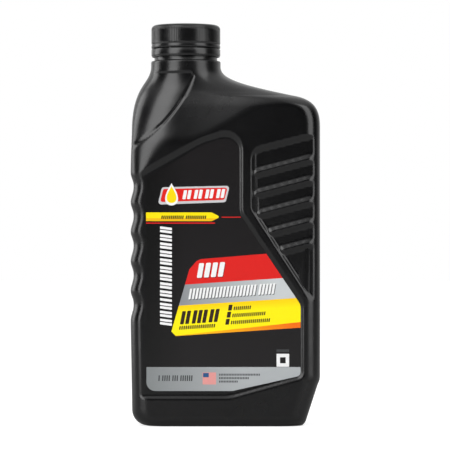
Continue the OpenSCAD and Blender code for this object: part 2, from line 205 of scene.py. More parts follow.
# %% [markdown]
# Outlines on the front
#
# The recesses and the label are outlines with rounded corners. Each corner is written once as x, z and a
# radius, and a helper puts an arc of short steps there. The distance from any place to such an outline then
# tells how deep the recess is, which gives soft, even edges like those of a mould.

# %% Rounded outlines
def unit(v):
    return v / np.linalg.norm(v)


def rounded(corners, steps):
    """The outline with an arc of short steps at each corner that has a radius."""
    out = []
    for i, (x, z, r) in enumerate(corners):
        here = np.array([x, z])
        before = unit(np.array(corners[i - 1][:2]) - here)
        after = unit(np.array(corners[(i + 1) % len(corners)][:2]) - here)
        if r == 0:
            out.append(here)
            continue
        half = math.acos(np.clip(before @ after, -1, 1)) / 2
        centre = here + unit(before + after) * r / math.sin(half)
        start = here + before * r / math.tan(half) - centre
        turn = (math.pi - 2 * half) * np.sign(before[1] * after[0] - before[0] * after[1])
        for s in range(steps + 1):
            c, d = math.cos(turn * s / steps), math.sin(turn * s / steps)
            out.append(centre + [start[0] * c - start[1] * d, start[0] * d + start[1] * c])
    return np.array(out)


def inset(corners, d):
    """The same corners moved inwards by d, each still with its radius."""
    out = []
    for i, (x, z, r) in enumerate(corners):
        b = np.array([x, z])
        u = unit(b - np.array(corners[i - 1][:2]))
        v = unit(np.array(corners[(i + 1) % len(corners)][:2]) - b)
        turn = u[0] * v[1] - u[1] * v[0]
        shift = np.array([-u[1] - v[1], u[0] + v[0]]) * d / (1 + u @ v)
        radius = 0 if r == 0 else max(0.4, r - d if turn > 0 else r + d)
        out.append((b[0] + shift[0], b[1] + shift[1], radius))
    return out


def distance_inside(outline, x, z):
    """Distance to the outline, positive inside it."""
    best = np.full(x.shape, 1e9)
    inside = np.zeros(x.shape, bool)
    for (ax, az), (bx, bz) in zip(outline, np.roll(outline, -1, axis=0)):
        ex, ez = bx - ax, bz - az
        t = np.clip(((x - ax) * ex + (z - az) * ez) / (ex * ex + ez * ez + 1e-12), 0, 1)
        best = np.minimum(best, np.hypot(x - ax - t * ex, z - az - t * ez))
        crosses = (az > z) != (bz > z)
        inside ^= crosses & (x < ax + (z - az) * ex / (ez if ez else 1e-12))
    return np.where(inside, best, -best)


# %% Label panel and grip panel
PANEL_DEPTH, GRIP_DEPTH, RIM_SLOPE, PROUD = 1.1, 1.9, 2.0, 0.4
PANEL_Z, PANEL_MID, RIDGE_W = 15.9, 10.5, 4.1
PANEL_X1 = HALF_W - 9.3
NOTCH_Z, SLANT_Z = 124.3, 71.6
TOP_BEND = -14.7
PANEL_TOP = SIDE_H - 4.4
BEYOND = HALF_W + 8
PANEL = [(-BEYOND, PANEL_Z, 0), (PANEL_MID - 7.8, PANEL_Z, 30), (PANEL_X1, PANEL_Z + 12, 5),
         (PANEL_X1, SLANT_Z, 8), (PANEL_MID, NOTCH_Z, 8), (PANEL_MID, SIDE_H + 3.2, 10.9),
         (TOP_BEND, PANEL_TOP, 30), (-BEYOND, PANEL_TOP - 0.562 * (BEYOND + TOP_BEND), 0)]
GRIP_X0 = PANEL_MID + RIDGE_W
GRIP = [(GRIP_X0, NOTCH_Z + 1.8, 5), (BEYOND, NOTCH_Z + 1.8 - 1.54 * (BEYOND - GRIP_X0), 0),
        (BEYOND, SIDE_H + 1.4, 0), (GRIP_X0, SIDE_H - 11, 7.5)]
RIBS, RIB_PITCH, RIB_W, RIB_SLANT = 5, 12.2, 4.6, math.radians(14.5)
RIB_DROP, RIB_BEVEL, RIB_IN, RIB_SOFT = 0.3, 1.5, 1.4, 0.3
RIB_TOP = SIDE_H - 26
RIB_END = HALF_W - CORNER_R * 0.45
OUTLINE_STEPS = 12
FLOOR_SOFT, EDGE_SOFT = 0.12, 0.35
FAR_OUT = 9


def recess(inside, depth):
    """The depth of a recess' surface, well outside the body where there is no recess."""
    slope = (depth + PROUD) / RIM_SLOPE
    fall = soft_min(inside * slope, np.full(inside.shape, depth + PROUD), FLOOR_SOFT)
    return HALF_D + PROUD - np.where(inside > -1, fall, -FAR_OUT)


def rib_rise(x, z, inside):
    """Height of the slanted ribs above the grip's floor."""
    c, s = math.cos(RIB_SLANT), math.sin(RIB_SLANT)
    rise = np.zeros(x.shape)
    for i in range(RIBS):
        dx, dz = x - GRIP_X0 + RIM_SLOPE, z - RIB_TOP + i * RIB_PITCH
        room = np.minimum(RIB_W / 2 - np.abs(-dx * s + dz * c), (RIB_END - x) / c)
        room = np.minimum(room, inside - RIB_IN)
        side = soft_min(soft_ramp(room, RIB_SOFT), np.full(x.shape, RIB_BEVEL), RIB_SOFT)
        rise = np.maximum(rise, side / RIB_BEVEL)
    return rise * (GRIP_DEPTH - RIB_DROP)


# %% Curved groove and step on the shoulder
SWOOSH = bezier([(-18.6, COLLAR_Z - 9.5), (-24, SIDE_H + 18), (-33, SIDE_H + 3), (-54, SIDE_H - 9)],
                CURVE_STEPS)
SWOOSH_W, SWOOSH_DEPTH = 2.2, 0.8
STEP_Z, STEP_H, STEP_FADE, STEP_DEPTH, STEP_SIDE = COLLAR_Z - 6.6, 1.3, 14.0, 0.5, 1.5
RELIEF_FADE = 10


def shoulder_relief(x, z):
    """How far the groove presses the surface in, and the step under the collar that fades out below."""
    away = np.min(np.hypot(x[:, None] - SWOOSH[:, 0], z[:, None] - SWOOSH[:, 1]), axis=1)
    groove = 1 - smooth(away / (SWOOSH_W / 2))
    groove_x = np.interp(z, SWOOSH[::-1, 1], SWOOSH[::-1, 0])
    below = STEP_Z - z
    step = smooth(below / STEP_H) * (1 - smooth((below - STEP_H) / STEP_FADE))
    step = step * smooth((groove_x - x) / STEP_SIDE)
    return -np.maximum(SWOOSH_DEPTH * groove, STEP_DEPTH * step)


def surface_depth(x, z, y):
    """The depth y of the plain skin, cut back by the panels."""
    panel = recess(distance_inside(rounded(PANEL, OUTLINE_STEPS), x, z), PANEL_DEPTH)
    grip_inside = distance_inside(rounded(GRIP, OUTLINE_STEPS), x, z)
    grip = recess(grip_inside, GRIP_DEPTH) + rib_rise(x, z, grip_inside)
    return soft_min(soft_min(y, panel, EDGE_SOFT), grip, EDGE_SOFT)


# %% [markdown]
# The bottle's skin
#
# One way to make such a body is to extrude an outline and round it. Here the whole skin, from the dish in the
# base up over the neck and down inside to the bottom again, is one sheet: a grid of quads rolled round the
# levels. Its seam and its two ends are then merged, so the mesh is closed and has a real wall.

# %% Levels of the skin
SIDE_COLS, FRONT_COLS = 26, 144
LEVEL_STEPS, SLOPE_STEP = 400, 0.5
HALF_COLS = 2 * SIDE_COLS + FRONT_COLS
side_share = (HALF_D - CORNER_R + CORNER_R * math.pi / 2) / (
    2 * (HALF_D - CORNER_R) + CORNER_R * math.pi + 2 * (HALF_W - CORNER_R))
share = np.interp(np.arange(HALF_COLS + 1), [0, SIDE_COLS, SIDE_COLS + FRONT_COLS, HALF_COLS],
                  [0, side_share, 1 - side_share, 1])


def stretch(edge, z):
    """How much longer a level's cut through the edge is where the edge slopes."""
    low = max(0.0, z - SLOPE_STEP)
    return math.hypot(1, float(edge(z + SLOPE_STEP) - edge(low)) / (z + SLOPE_STEP - low))


# The corners of a level open out to the neck's circle. The left one is made wide before it is made round, as a
# blown shoulder is, and the right one opens only above the slope. Each pair is where it starts below a landmark,
# and the height over which it opens.
LEFT_WIDE = 28.0
LEFT_OPEN, LEFT_OPEN_H = 17, 36
WIDE_OPEN, WIDE_OPEN_H = 25, 27
NECK_OPEN, NECK_OPEN_H = 14, 12
RIGHT_OPEN = 3


def opened(start, end, z, low, height):
    """A radius that goes from start to end over a height that begins at low."""
    return mix(start, end, float(smooth((z - low) / height)))


def half_level(z, wall):
    """The front half of one level, from the right side's middle to the left side's, as x and depth."""
    z = np.float64(z)
    right_long = stretch(right_edge, z)
    x0 = float(left_edge(z)) + wall * stretch(left_edge, z)
    x1 = float(right_edge(z)) - wall * right_long
    left_r = opened(CORNER_R, COLLAR_R, z, SIDE_H - LEFT_OPEN, LEFT_OPEN_H) - wall
    right_from = RIGHT_LOW[1] - RIGHT_OPEN
    right_r = opened(CORNER_R, COLLAR_R, z, right_from, STEP_Z - right_from) - wall
    left_w = opened(CORNER_R, LEFT_WIDE, z, SIDE_H - WIDE_OPEN, WIDE_OPEN_H)
    left_w = opened(left_w, COLLAR_R, z, NECK_Z - NECK_OPEN, NECK_OPEN_H) - wall
    left_x = min(left_w, (x1 - x0) / 2)
    right_x = min(right_r * right_long, x1 - x0 - left_x)
    x = mix(x0, x1, (1 + np.cos(np.linspace(0, np.pi, LEVEL_STEPS))) / 2)
    y = depth_at(x, z) - wall
    left_in = np.clip((x0 + left_x - x) / left_x, 0, 1)
    right_in = np.clip((x - x1 + right_x) / right_x, 0, 1)
    y = y - np.minimum(left_r, y) * (1 - np.sqrt(1 - left_in ** 2))
    y = y - np.minimum(right_r, y) * (1 - np.sqrt(1 - right_in ** 2))
    line = np.stack([np.concatenate([[x1], x, [x0]]), np.concatenate([[0], y, [0]])], 1)
    run = np.concatenate([[0], np.cumsum(np.hypot(*np.diff(line, axis=0).T))])
    run = run / run[-1]
    return np.stack([np.interp(share, run, line[:, 0]), np.interp(share, run, line[:, 1])], 1)


def pushed(half, z):
    """The level with the groove and the step under the collar pressed in square to its surface."""
    way = np.gradient(half, axis=0)
    out = np.stack([way[:, 1], -way[:, 0]], 1) / np.linalg.norm(way, axis=1, keepdims=True)
    push = shoulder_relief(half[:, 0], np.full(len(half), z)) * smooth(half[:, 1] / RELIEF_FADE)
    return half + out * push[:, None]


def ring(half, z):
    """A closed level from its front half: the front from right to left, then the back the other way."""
    z = np.broadcast_to(z, (len(half),))
    front = np.stack([half[:, 0], -half[:, 1], z], 1)
    back = np.stack([half[::-1, 0], half[::-1, 1], z[::-1]], 1)
    return np.concatenate([front, back[1:]])


def circle_half(r):
    angle = np.pi * share
    return np.stack([NECK_X + r * np.cos(angle), r * np.sin(angle)], 1)


# The levels lie close together where the surface turns fast, and wide apart on the plain stretch between.
body_z = np.concatenate([
    BASE_R * (1 - np.cos(np.linspace(0, np.pi / 2, 8)))[1:], np.arange(6.4, 12, 1.4),
    np.arange(12.5, 32, 0.9), np.arange(32.5, 66, 2), np.arange(66.5, 175.5, 1.15),
    np.arange(176, COLLAR_Z - 2, 0.6)])

# %% Dish in the base, then the body
# The dish starts a few millimetres inside the foot and is as deep as the rim that the bottle stands on is high.
DISH_DEPTH, DISH_IN, DISH_SLOPE = 1.2, 5.2, 2
base_foot = half_level(0.0, 0.0)
base_in = [23, 16, 9, 7.4, 6.8, 6.2, 5.6, 4.8, 2.4, 1, 0]
centre_x = (base_foot[:, 0].min() + base_foot[:, 0].max()) / 2
reach_x = (base_foot[:, 0].max() - base_foot[:, 0].min()) / 2
reach_y = base_foot[:, 1].max()
rings = []
for d in base_in:
    shrunk = base_foot.copy()
    shrunk[:, 0] = centre_x + (shrunk[:, 0] - centre_x) * (reach_x - d) / reach_x
    shrunk[:, 1] *= (reach_y - min(d, reach_y)) / reach_y
    rings.append(ring(shrunk, DISH_DEPTH * float(smooth((d - DISH_IN) / DISH_SLOPE))))
for z in body_z:
    half = half_level(z, 0.0)
    half[:, 1] = surface_depth(half[:, 0], np.full(len(half), z), half[:, 1])
    rings.append(ring(pushed(half, z), z))
print("body levels", len(body_z), "points round", 2 * HALF_COLS)

# %% Neck and inside of the skin
FOOT_R, BEAD_R = CAP_R - 1.8, CAP_R - 1.7
COLLAR_IN = COLLAR_R - 1.6
BEAD_Z = BAND_Z + 2.6
neck_profile = [
    (COLLAR_R, COLLAR_Z - 1.4), (COLLAR_R, COLLAR_Z - 0.8), (COLLAR_R - 0.25, COLLAR_Z - 0.25),
    (COLLAR_R - 0.8, COLLAR_Z), (FOOT_R + 0.3, COLLAR_Z), (FOOT_R, COLLAR_Z + 0.3), (FOOT_R, BAND_Z + 0.2),
    (NECK_R, BAND_Z + 0.6), (NECK_R, BEAD_Z - 0.4), (BEAD_R, BEAD_Z), (BEAD_R, BEAD_Z + 0.6),
    (NECK_R, BEAD_Z + 2), (NECK_R, LIP_Z - 0.7), (NECK_R - 0.2, LIP_Z - 0.2), (NECK_R - 0.6, LIP_Z),
    (BORE_R + 0.3, LIP_Z), (BORE_R, LIP_Z - 0.3), (BORE_R, COLLAR_Z + 1), (COLLAR_IN, COLLAR_Z - 2.5),
    (COLLAR_IN, COLLAR_Z - 6)]
inner_z = [203, 198, 192, 186, 180, 172, 160, 120, 75, 30, 12, 5, 3.2]
for r, z in neck_profile:
    rings.append(ring(circle_half(r), z))
for z in inner_z:
    half = half_level(z, WALL)
    outside = surface_depth(half[:, 0], np.full(len(half), z), half[:, 1] + WALL)
    half[:, 1] = np.minimum(half[:, 1], outside - WALL)
    rings.append(ring(half, z))
last = rings[-1]
middle = (last.min(0) + last.max(0)) / 2
for d in (0.8, 0.4, 0.0):
    inner = last.copy()
    inner[:, 0] = middle[0] + (inner[:, 0] - middle[0]) * mix(0.5, 1, d)
    inner[:, 1] *= d
    inner[:, 2] = DISH_DEPTH + WALL
    rings.append(inner)
skin = np.array(rings) * MM


# %% Roll the grid into the skin
def new_object(name, bm, material=None):
    """Turn a bmesh into an object at the origin."""
    mesh = bpy.data.meshes.new(name)
    bm.to_mesh(mesh)
    bm.free()
    obj = bpy.data.objects.new(name, mesh)
    bpy.context.scene.collection.objects.link(obj)
    if material:
        obj.data.materials.append(material)
    return obj


def shade(obj, angle):
    """Smooth shading with a hard line at every edge sharper than the angle."""
    mesh = obj.data
    mesh.shade_smooth()
    mesh.set_sharp_from_angle(angle=math.radians(angle))


def rolled_grid(table, merge=0.00002):
    """A bmesh grid moved to the rows and columns of a table of points, with its seam and ends merged."""
    rows, cols = table.shape[:2]
    bm = bmesh.new()
    bmesh.ops.create_grid(bm, x_segments=cols - 1, y_segments=rows - 1, size=0.5)
    for v in bm.verts:
        v.co = table[round((v.co.y + 0.5) * (rows - 1)), round((v.co.x + 0.5) * (cols - 1))]
    bmesh.ops.remove_doubles(bm, verts=bm.verts, dist=merge)
    bmesh.ops.recalc_face_normals(bm, faces=bm.faces)
    return bm


bottle = new_object("bottle_skin", rolled_grid(skin))
shade(bottle, 60)
print("skin faces", len(bottle.data.polygons))
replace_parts(bottle, "bottle")
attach(bottle, "bottle")

# %% [markdown]
# Screw threads
#
# The neck and the cap each carry a helical ridge that rises one pitch in each turn. Spin can move its copies
# along the axis while it turns them, so a small profile becomes a thread in one step. Its ends are then thinned
# out, by drawing the crest back to the foot over the last few steps.

# %% Threads
PITCH = 4.2
THREAD_FOOT, THREAD_CREST = 2.0, 1.0
THREAD_TURNS = 1.5
THREAD_DEPTH, THREAD_SUNK, THREAD_GAP = 1.1, 0.3, 0.25
THREAD_Z = LIP_Z - 2.2 - PITCH * THREAD_TURNS
CAP_START = 0.25
TURN_STEPS, TAPER_STEPS, TIP_SHARE = 72, 10, 0.08


def thread(name, foot_r, crest_r, z, start, turns):
    """A ridge about the neck's axis, with its start and its length in turns."""
    steps = round(turns * TURN_STEPS)
    angle = start * 2 * math.pi
    bm = bmesh.new()
    corners = [(foot_r, -THREAD_FOOT / 2), (crest_r, -THREAD_CREST / 2), (crest_r, THREAD_CREST / 2),
               (foot_r, THREAD_FOOT / 2)]
    place = [((NECK_X + r * math.cos(angle)) * MM, r * math.sin(angle) * MM, (z + start * PITCH + h) * MM)
             for r, h in corners]
    face = bm.faces.new([bm.verts.new(p) for p in place])
    bmesh.ops.spin(bm, geom=[face], cent=(NECK_X * MM, 0, 0), axis=(0, 0, 1), angle=turns * 2 * math.pi,
                   steps=steps, dvec=(0, 0, turns * PITCH * MM / steps))
    bmesh.ops.remove_doubles(bm, verts=bm.verts, dist=0.000001)
    for v in bm.verts:
        x, y = v.co.x / MM - NECK_X, v.co.y / MM
        r = math.hypot(x, y)
        turn = math.atan2(y, x) / (2 * math.pi)
        turn += round((v.co.z / MM - z) / PITCH - turn)
        full = min(1, TIP_SHARE + min(turn - start, start + turns - turn) * TURN_STEPS / TAPER_STEPS)
        shrink = mix(foot_r, r, full) / r
        v.co.x, v.co.y = (NECK_X + x * shrink) * MM, y * shrink * MM
    bmesh.ops.recalc_face_normals(bm, faces=bm.faces)
    obj = new_object(name, bm)
    print(name, "faces", len(obj.data.polygons), "top", max(v.co.z for v in obj.data.vertices))
    return obj


neck_thread = thread("neck_thread", NECK_R - THREAD_SUNK, NECK_R + THREAD_DEPTH, THREAD_Z, 0, THREAD_TURNS)
cap_thread = thread("cap_thread", CAP_R - CAP_WALL + THREAD_SUNK, NECK_R + THREAD_GAP, THREAD_Z - PITCH / 2,
                    CAP_START, THREAD_TURNS - CAP_START)
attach(neck_thread, "bottle")
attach(cap_thread, "cap")

# %% [markdown]
# The cap and its tamper band
#
# Both are turned shapes, so each starts as a profile that is spun round the neck's axis. The cap's grip is a ring
# of fine flutes, far too many to model one by one: six columns of points make one flute, and one of the six is
# moved inwards to cut the groove. The flutes fade out at the top edge and at the plain rim.

# %% Spin a profile
def turned(profile, steps):
    """A closed profile of radius and height, spun round the neck's axis."""
    bm = bmesh.new()
    ring_verts = [bm.verts.new(((NECK_X + r) * MM, 0, z * MM)) for r, z in profile]
    edges = [bm.edges.new((ring_verts[i - 1], v)) for i, v in enumerate(ring_verts)]
    bmesh.ops.spin(bm, geom=ring_verts + edges, cent=(NECK_X * MM, 0, 0), axis=(0, 0, 1), angle=2 * math.pi,
                   steps=steps, use_merge=True)
    bmesh.ops.remove_doubles(bm, verts=bm.verts, dist=0.000002)
    bmesh.ops.recalc_face_normals(bm, faces=bm.faces)
    return bm


def arc(cx, cz, r, start, end, steps):
    """Points of a profile along an arc, with its angles in degrees."""
    return [(cx + r * math.cos(math.radians(a)), cz + r * math.sin(math.radians(a)))
            for a in np.linspace(start, end, steps)]


# %% Cap
FLUTES, FLUTE_DEPTH, FLUTE_COLS = 120, 0.26, 6
FLUTE_FADE_TOP, FLUTE_FADE_RIM = 1.6, 0.5
CAP_EDGE, RIM_H = 2.6, 2.4
CAP_IN = CAP_R - CAP_WALL
LINER_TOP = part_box("cap_liner")[1].z / MM
flute_low, flute_high = CAP_RIM_Z + RIM_H, CAP_TOP_Z - 1.2
cap_profile = (
    [(0, LINER_TOP), (CAP_IN - 0.3, LINER_TOP), (CAP_IN, LINER_TOP - 0.3), (CAP_IN, CAP_RIM_Z + 0.3),
     (CAP_IN + 0.25, CAP_RIM_Z), (CAP_R - 0.3, CAP_RIM_Z), (CAP_R, CAP_RIM_Z + 0.3), (CAP_R, CAP_RIM_Z + 1.4),
     (CAP_R - 0.2, CAP_RIM_Z + 2.0), (CAP_R - 0.22, flute_low)]
    + [(CAP_R, z) for z in np.linspace(flute_low + 0.5, CAP_TOP_Z - CAP_EDGE, 8)]
    + arc(CAP_R - CAP_EDGE, CAP_TOP_Z - CAP_EDGE, CAP_EDGE, 12, 90, 8)
    + [(CAP_R - 4.2, CAP_TOP_Z), (CAP_R - 4.6, CAP_TOP_Z - 0.25), (CAP_R - 6, CAP_TOP_Z - 0.25),
       (2.2, CAP_TOP_Z - 0.2), (1.2, CAP_TOP_Z - 0.45), (0, CAP_TOP_Z - 0.5)])
cap_mesh = turned(cap_profile, FLUTE_COLS * FLUTES)
for v in cap_mesh.verts:
    x, y, z = v.co.x / MM - NECK_X, v.co.y / MM, v.co.z / MM
    r = math.hypot(x, y)
    if r > CAP_IN + 0.3 and z > flute_low:
        column = round(math.atan2(y, x) / (2 * math.pi) * FLUTES * FLUTE_COLS)
        wave = 1 if column % FLUTE_COLS == 0 else 0  # one column of each flute lies in the groove
        fade = float(smooth((flute_high - z) / FLUTE_FADE_TOP)) * float(smooth((z - flute_low) / FLUTE_FADE_RIM))
        shrink = 1 - FLUTE_DEPTH * wave * fade / r
        v.co.x, v.co.y = (NECK_X + x * shrink) * MM, y * shrink * MM
cap = new_object("screw_cap", cap_mesh)
shade(cap, 50)
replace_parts(cap, "cap")
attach(cap, "cap")

# %% Tamper band
# Thin bridges join the band to the cap until it is first opened.
BAND_TOP = CAP_RIM_Z - 0.4
BAND_IN = CAP_R - 1.0
BRIDGES, BRIDGE_W, BRIDGE_TURN = 8, 0.9, -4.0
BRIDGE_DEEP, BRIDGE_H = 0.6, 0.55
BAND_STEPS = 160
band_profile = [
    (BAND_IN, BAND_Z), (CAP_R - 0.45, BAND_Z), (CAP_R - 0.25, BAND_Z + 0.2), (CAP_R - 0.25, BAND_Z + 0.6),
    (CAP_R - 0.05, BAND_Z + 0.85), (CAP_R, BAND_Z + 1.1), (CAP_R, BAND_TOP - 0.25), (CAP_R - 0.2, BAND_TOP),
    (BAND_IN, BAND_TOP), (BAND_IN, BEAD_Z - 0.7), (NECK_R + 0.3, BEAD_Z - 0.7), (NECK_R + 0.3, BAND_Z + 1.0),
    (BAND_IN, BAND_Z + 0.6)]
band_mesh = turned(band_profile, BAND_STEPS)
for i in range(BRIDGES):
    angle = math.radians((i + 0.5) * 360 / BRIDGES + BRIDGE_TURN)
    made = bmesh.ops.create_cube(band_mesh, size=1)["verts"]
    bmesh.ops.scale(band_mesh, verts=made, vec=(BRIDGE_DEEP * MM, BRIDGE_W * MM, BRIDGE_H * MM))
    place = Matrix.Translation((NECK_X * MM, 0, 0)) @ Matrix.Rotation(angle, 4, "Z")
    place = place @ Matrix.Translation(((CAP_R - 0.5) * MM, 0, (BAND_TOP + 0.1) * MM))
    bmesh.ops.transform(band_mesh, verts=made, matrix=place)
band = new_object("band_ring", band_mesh)
shade(band, 40)
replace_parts(band, "tamper_band")
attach(band, "bottle")

# %% [markdown]
# Surface finishes
#
# Moulded polyethylene is never quite even: its gloss drifts across the body, and a fine grain from the blasted
# mould breaks up every reflection. One function makes such a plastic from two noises, a wide one for the gloss
# and a fine one for the grain. Film gets a gentler version, and may fade from one colour to another.

# %% Material helpers
def linear(rgb):
    """Linear light from a colour picked on a screen, 0 to 255."""
    return [v / 255 / 12.92 if v <= 10 else ((v / 255 + 0.055) / 1.055) ** 2.4 for v in rgb]


def start_material(name):
    mat = bpy.data.materials.new(name)
    mat.use_nodes = True
    nodes, links = mat.node_tree.nodes, mat.node_tree.links
    return mat, nodes, links, nodes["Principled BSDF"]


def add_noise(nodes, links, scale, detail=2.0):
    """A noise over the object, scale ripples to the metre."""
    where = nodes.new("ShaderNodeTexCoord")
    noise = nodes.new("ShaderNodeTexNoise")
    noise.inputs["Scale"].default_value = scale
    noise.inputs["Detail"].default_value = detail
    links.new(where.outputs["Object"], noise.inputs["Vector"])
    return noise.outputs["Fac"]


def spread(nodes, links, value, low, high, start=0.3, end=0.7):
    """Stretch a value onto the range from low to high."""
    node = nodes.new("ShaderNodeMapRange")
    for socket, v in (("From Min", start), ("From Max", end), ("To Min", low), ("To Max", high)):
        node.inputs[socket].default_value = v
    links.new(value, node.inputs["Value"])
    return node.outputs["Result"]


def blend(nodes, links, factor, first, second):
    """A colour between two, each a colour or another node's output."""
    node = nodes.new("ShaderNodeMixRGB")
    links.new(factor, node.inputs["Fac"])
    for socket, colour in (("Color1", first), ("Color2", second)):
        if isinstance(colour, (list, tuple)):
            node.inputs[socket].default_value = (*colour, 1)
        else:
            links.new(colour, node.inputs[socket])
    return node.outputs["Color"]


def add_bump(nodes, links, shader, height, distance, strength=1.0, below=None):
    node = nodes.new("ShaderNodeBump")
    node.inputs["Distance"].default_value = distance
    node.inputs["Strength"].default_value = strength
    links.new(height, node.inputs["Height"])
    if below:
        links.new(below.outputs["Normal"], node.inputs["Normal"])
    links.new(node.outputs["Normal"], shader.inputs["Normal"])
    return node


# %% Plastics and foam
GLOSS_SCALE, GRAIN_SCALE = 26, 1500
GLOSS_DRIFT, TINT_DRIFT = 0.035, 0.15


def satin_plastic(name, rgb, rough, grain, seam=False):
    """Black plastic with drifting gloss, fine grain and, if asked, the mould's parting line."""
    mat, nodes, links, shader = start_material(name)
    wide = add_noise(nodes, links, GLOSS_SCALE, 3)
    fine = add_noise(nodes, links, GRAIN_SCALE, 2)
    dark, light = [[c * (1 + k) for c in linear(rgb)] for k in (-TINT_DRIFT, TINT_DRIFT)]
    links.new(blend(nodes, links, wide, dark, light), shader.inputs["Base Color"])
    links.new(spread(nodes, links, wide, rough - GLOSS_DRIFT, rough + GLOSS_DRIFT), shader.inputs["Roughness"])
    bump = add_bump(nodes, links, shader, wide, 0.0012, 0.35)
    bump = add_bump(nodes, links, shader, fine, grain, 0.4, bump)
    if seam:
        where = nodes.new("ShaderNodeTexCoord")
        split = nodes.new("ShaderNodeSeparateXYZ")
        away = nodes.new("ShaderNodeMath")
        away.operation = "ABSOLUTE"
        links.new(where.outputs["Object"], split.inputs["Vector"])
        links.new(split.outputs["Y"], away.inputs[0])
        line = spread(nodes, links, away.outputs[0], 1, 0, 0.0001, 0.0004)
        add_bump(nodes, links, shader, line, 0.00015, 0.8, bump)
    return mat


bottle_black = satin_plastic("bottle_black", (5, 5, 6), 0.25, 0.00003, seam=True)
cap_black = satin_plastic("cap_black", (10, 10, 11), 0.22, 0.00002)

foam, nodes, links, shader = start_material("liner_foam")
cells = add_noise(nodes, links, 3000, 1)
foam_tint = blend(nodes, links, cells, linear((214, 214, 208)), linear((238, 238, 233)))
links.new(foam_tint, shader.inputs["Base Color"])
links.new(spread(nodes, links, cells, 0.75, 0.9), shader.inputs["Roughness"])
add_bump(nodes, links, shader, cells, 0.00008, 0.5)
for obj in (bottle, neck_thread):
    obj.data.materials.append(bottle_black)
for obj in (cap, band, cap_thread):
    obj.data.materials.append(cap_black)
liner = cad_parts["cap_liner"]
liner.data.materials.clear()
liner.data.materials.append(foam)


# %% Inks
def ink(name, rgb, far=None, along=(1, 0), start=0.0, end=1.0, rough=0.25):
    """A printed colour on film, which may fade to a far colour along a direction, from start to end."""
    mat, nodes, links, shader = start_material(name)
    speck = add_noise(nodes, links, 900, 3)
    dark, light = [c * 0.95 for c in linear(rgb)], [min(1, c * 1.03) for c in linear(rgb)]
    tint = blend(nodes, links, speck, dark, light)
    if far:
        where = nodes.new("ShaderNodeTexCoord")
        dot = nodes.new("ShaderNodeVectorMath")
        dot.operation = "DOT_PRODUCT"
        dot.inputs[1].default_value = (along[0], 0, along[1])
        links.new(where.outputs["Object"], dot.inputs[0])
        fade = spread(nodes, links, dot.outputs["Value"], 0, 1, start * MM, end * MM)
        tint = blend(nodes, links, fade, tint, linear(far))
    links.new(tint, shader.inputs["Base Color"])
    links.new(spread(nodes, links, speck, rough - 0.015, rough + 0.02), shader.inputs["Roughness"])
    return mat


# The label film is darkest at its left edge and grows lighter over about 20 mm towards the middle.
black_film = ink("black_film", (4, 4, 4), (22, 20, 21), (1, 0), -44, -22)
red_ink = ink("red_ink", (216, 32, 28))
grey_ink = ink("grey_ink", (140, 143, 146), (196, 200, 202), (1, 0), -25, 30)
strip_ink = ink("strip_ink", (128, 132, 133), (170, 174, 176), (1, 0), -46, 10)
yellow_ink = ink("yellow_ink", (253, 236, 4), (250, 190, 6), (-0.06, 1), 67, 74)
orange_ink = ink("orange_ink", (250, 190, 6), (240, 110, 10), (1, 0), -20, 40)
white_ink = ink("white_ink", (238, 238, 238))
dark_ink = ink("dark_ink", (46, 32, 20))
shadow_ink = ink("shadow_ink", (70, 72, 74))
blue_ink = ink("blue_ink", (40, 84, 130))
rose_ink = ink("rose_ink", (222, 150, 146))

# %% [markdown]
# The labels
#
# A label is a thin film that fills the panel. Its print could be an image, but colour fields stay crisp at any
# distance when they are shapes of their own. Each field starts as the label's whole outline, is cut by straight
# lines with bisect, and gets a hair's thickness. Rows of leaning strokes give the look of fine print.

# %% Label outline
LABEL_GAP, LABEL_RISE, LABEL_X0 = 0.3, 4.9, 9.5 - HALF_W
LABEL_TOP, LABEL_SLOPE = PANEL_TOP - 4.6, 0.62
panel_in = inset(PANEL, RIM_SLOPE + LABEL_GAP)
label_corners = [
    (LABEL_X0, PANEL_Z + LABEL_RISE, 5.2), (PANEL_MID - 6.5, PANEL_Z + LABEL_RISE, 6), *panel_in[2:5],
    (panel_in[5][0], panel_in[5][1] - 1.5, panel_in[5][2]), (TOP_BEND, LABEL_TOP, 20),
    (LABEL_X0, LABEL_TOP - LABEL_SLOPE * (TOP_BEND - LABEL_X0), 2)]
LABEL = rounded(label_corners, 16)
FILM_Y = abs(label_low.y) / MM
FLOOR_Y = abs(label_high.y) / MM
INK = 0.012  # thickness of one layer of ink


# %% Flat shapes
def sheet(bm, outline, y_back, y_front, cuts=(), side=-1):
    """A thin plate from an outline, kept only on the left of each cut from one point to another."""
    face = bm.faces.new([bm.verts.new((x * MM, side * y_back * MM, z * MM)) for x, z in outline])
    face.normal_update()
    made = bmesh.ops.triangulate(bm, faces=[face])["faces"]
    for (ax, az), (bx, bz) in cuts:
        geom = made + list({e for f in made for e in f.edges})
        geom += list({v for f in made for v in f.verts})
        kept = bmesh.ops.bisect_plane(bm, geom=geom, dist=1e-7, plane_co=(ax * MM, 0, az * MM),
                                      plane_no=(bz - az, 0, ax - bx), clear_outer=True)["geom"]
        made = [g for g in kept if isinstance(g, bmesh.types.BMFace)]
    out = bmesh.ops.extrude_face_region(bm, geom=made)["geom"]
    front = [g for g in out if isinstance(g, bmesh.types.BMVert)]
    bmesh.ops.translate(bm, verts=front, vec=(0, side * (y_front - y_back) * MM, 0))


def printed(name, shapes, material, lift, side=-1):
    """One object with all the shapes of one colour. A shape is an outline, or an outline and its cuts."""
    bm = bmesh.new()
    for shape in shapes:
        outline, cuts = shape if isinstance(shape, tuple) else (shape, ())
        sheet(bm, outline, FILM_Y + INK * (lift - 1), FILM_Y + INK * lift, cuts, side)
    bmesh.ops.recalc_face_normals(bm, faces=bm.faces)
    obj = new_object(name, bm, material)
    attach(obj, "bottle")
    return obj


